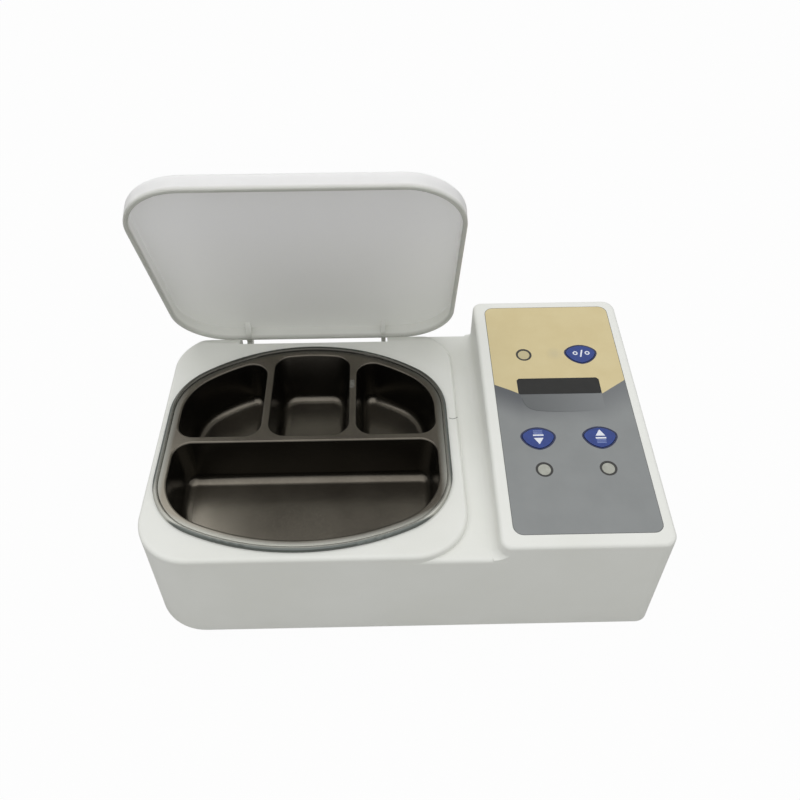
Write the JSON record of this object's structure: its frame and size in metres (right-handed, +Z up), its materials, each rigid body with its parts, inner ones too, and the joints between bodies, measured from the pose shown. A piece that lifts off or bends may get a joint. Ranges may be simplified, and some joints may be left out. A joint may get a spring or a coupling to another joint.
{
  "type": "dental lab wax heater",
  "caption": "Bench wax heater with a rounded deck, a dark non-stick pan of small wells and a long trough, a hinged lid and a sloped control tower with keys.",
  "frame": {"origin": "under the middle of the whole part at rest, on the surface that the feet stand on", "axes": "+X to the right seen from the front, +Y to the back, +Z up"},
  "size_m": [0.2402, 0.1596, 0.1855],
  "materials": {
    "housing_plastic": "white moulded ABS, satin",
    "lid_plastic": "white moulded ABS, satin gloss",
    "base_plastic": "white moulded ABS, fine texture",
    "foot_rubber": "moulded rubber",
    "screw_steel": "zinc plated",
    "pin_steel": "ground",
    "washer_nylon": "natural nylon",
    "pan_coating": "cast aluminium with dark non-stick coating",
    "gasket_silicone": "silicone",
    "heater_film": "polyimide heater film",
    "insulation": "needled glass fibre",
    "plate_aluminium": "sheet, mill finish",
    "sensor_metal": "drawn sleeve",
    "panel_print": "printed film, gold above and grey below",
    "window_smoke": "smoked acrylic",
    "pipe_acrylic": "frosted acrylic",
    "key_blue": "blue moulded keys with white marks",
    "plunger_black": "moulded nylon",
    "board_green": "glass fibre board with solder mask",
    "part_black": "moulded epoxy",
    "part_metal": "tinned steel",
    "led_clear": "clear epoxy",
    "relay_blue": "moulded case",
    "capacitor_yellow": "moulded case",
    "fuse_glass": "glass tube",
    "terminal_green": "moulded nylon",
    "core_steel": "varnished laminations",
    "contact_brass": "brass, tinned",
    "socket_black": "moulded nylon",
    "rocker_black": "moulded nylon",
    "lead_white": "silicone covered wire",
    "lead_black": "PVC covered wire",
    "ribbon_grey": "flat PVC cable"
  },
  "bodies": {
    "housing": {"upper_housing": "housing_plastic", "base_plate": "base_plastic", "foot_front_left": "foot_rubber", "foot_front_right": "foot_rubber", "foot_back_left": "foot_rubber", "foot_back_right": "foot_rubber", "base_screws": "screw_steel", "hinge_pins": "pin_steel", "friction_washers": "washer_nylon", "wax_pan": "pan_coating", "pan_gasket": "gasket_silicone", "heater_pad": "heater_film", "insulation_blanket": "insulation", "clamp_plate": "plate_aluminium", "clamp_screws": "screw_steel", "thermistor": "sensor_metal", "sensor_clip": "plate_aluminium", "thermal_cutout": "part_black", "cutout_clip": "plate_aluminium", "panel_film": "panel_print", "display_window": "window_smoke", "light_pipes": "pipe_acrylic", "tact_switches": "part_metal", "control_board": "board_green", "control_board_screws": "screw_steel", "display_module": "part_black", "indicator_leds": "led_clear", "controller_chip": "part_black", "control_parts": "part_black", "ribbon_sockets": "part_black", "ribbon_cable": "ribbon_grey", "power_board": "board_green", "power_board_screws": "screw_steel", "transformer": "core_steel", "relay": "relay_blue", "suppression_capacitor": "capacitor_yellow", "fuse": "fuse_glass", "fuse_clips": "contact_brass", "terminal_block": "terminal_green", "mains_inlet": "socket_black", "inlet_pins": "contact_brass", "inlet_screws": "screw_steel", "switch_frame": "rocker_black", "switch_tabs": "contact_brass", "heater_leads": "lead_white", "sensor_lead": "lead_black", "cutout_leads": "lead_white", "mains_leads": "lead_black"},
    "lid": {"lid": "lid_plastic"},
    "units_key": {"key_units": "key_blue", "plunger_units": "plunger_black"},
    "down_key": {"key_down": "key_blue", "plunger_down": "plunger_black"},
    "up_key": {"key_up": "key_blue", "plunger_up": "plunger_black"},
    "power_rocker": {"switch_rocker": "rocker_black"}
  },
  "joints": [
    {"name": "lid_hinge", "type": "hinge", "parent": "housing", "child": "lid", "pos_m": [-0.04415, 0.06109, 0.04905], "axis": [1, 0, 0], "range_deg": [0, 67.7]},
    {"name": "units_key_press", "type": "slide", "parent": "housing", "child": "units_key", "axis": [0, 0.097, -0.9953], "range_m": [0, 0.0003], "stiffness_N_per_m": 3000},
    {"name": "down_key_press", "type": "slide", "parent": "housing", "child": "down_key", "axis": [0, 0.097, -0.9953], "range_m": [0, 0.0003], "stiffness_N_per_m": 3000},
    {"name": "up_key_press", "type": "slide", "parent": "housing", "child": "up_key", "axis": [0, 0.097, -0.9953], "range_m": [0, 0.0003], "stiffness_N_per_m": 3000},
    {"name": "power_rocker_tilt", "type": "hinge", "parent": "housing", "child": "power_rocker", "pos_m": [0.04215, 0.06837, 0.02447], "axis": [1, 0, 0], "range_deg": [0, 16]}
  ]
}
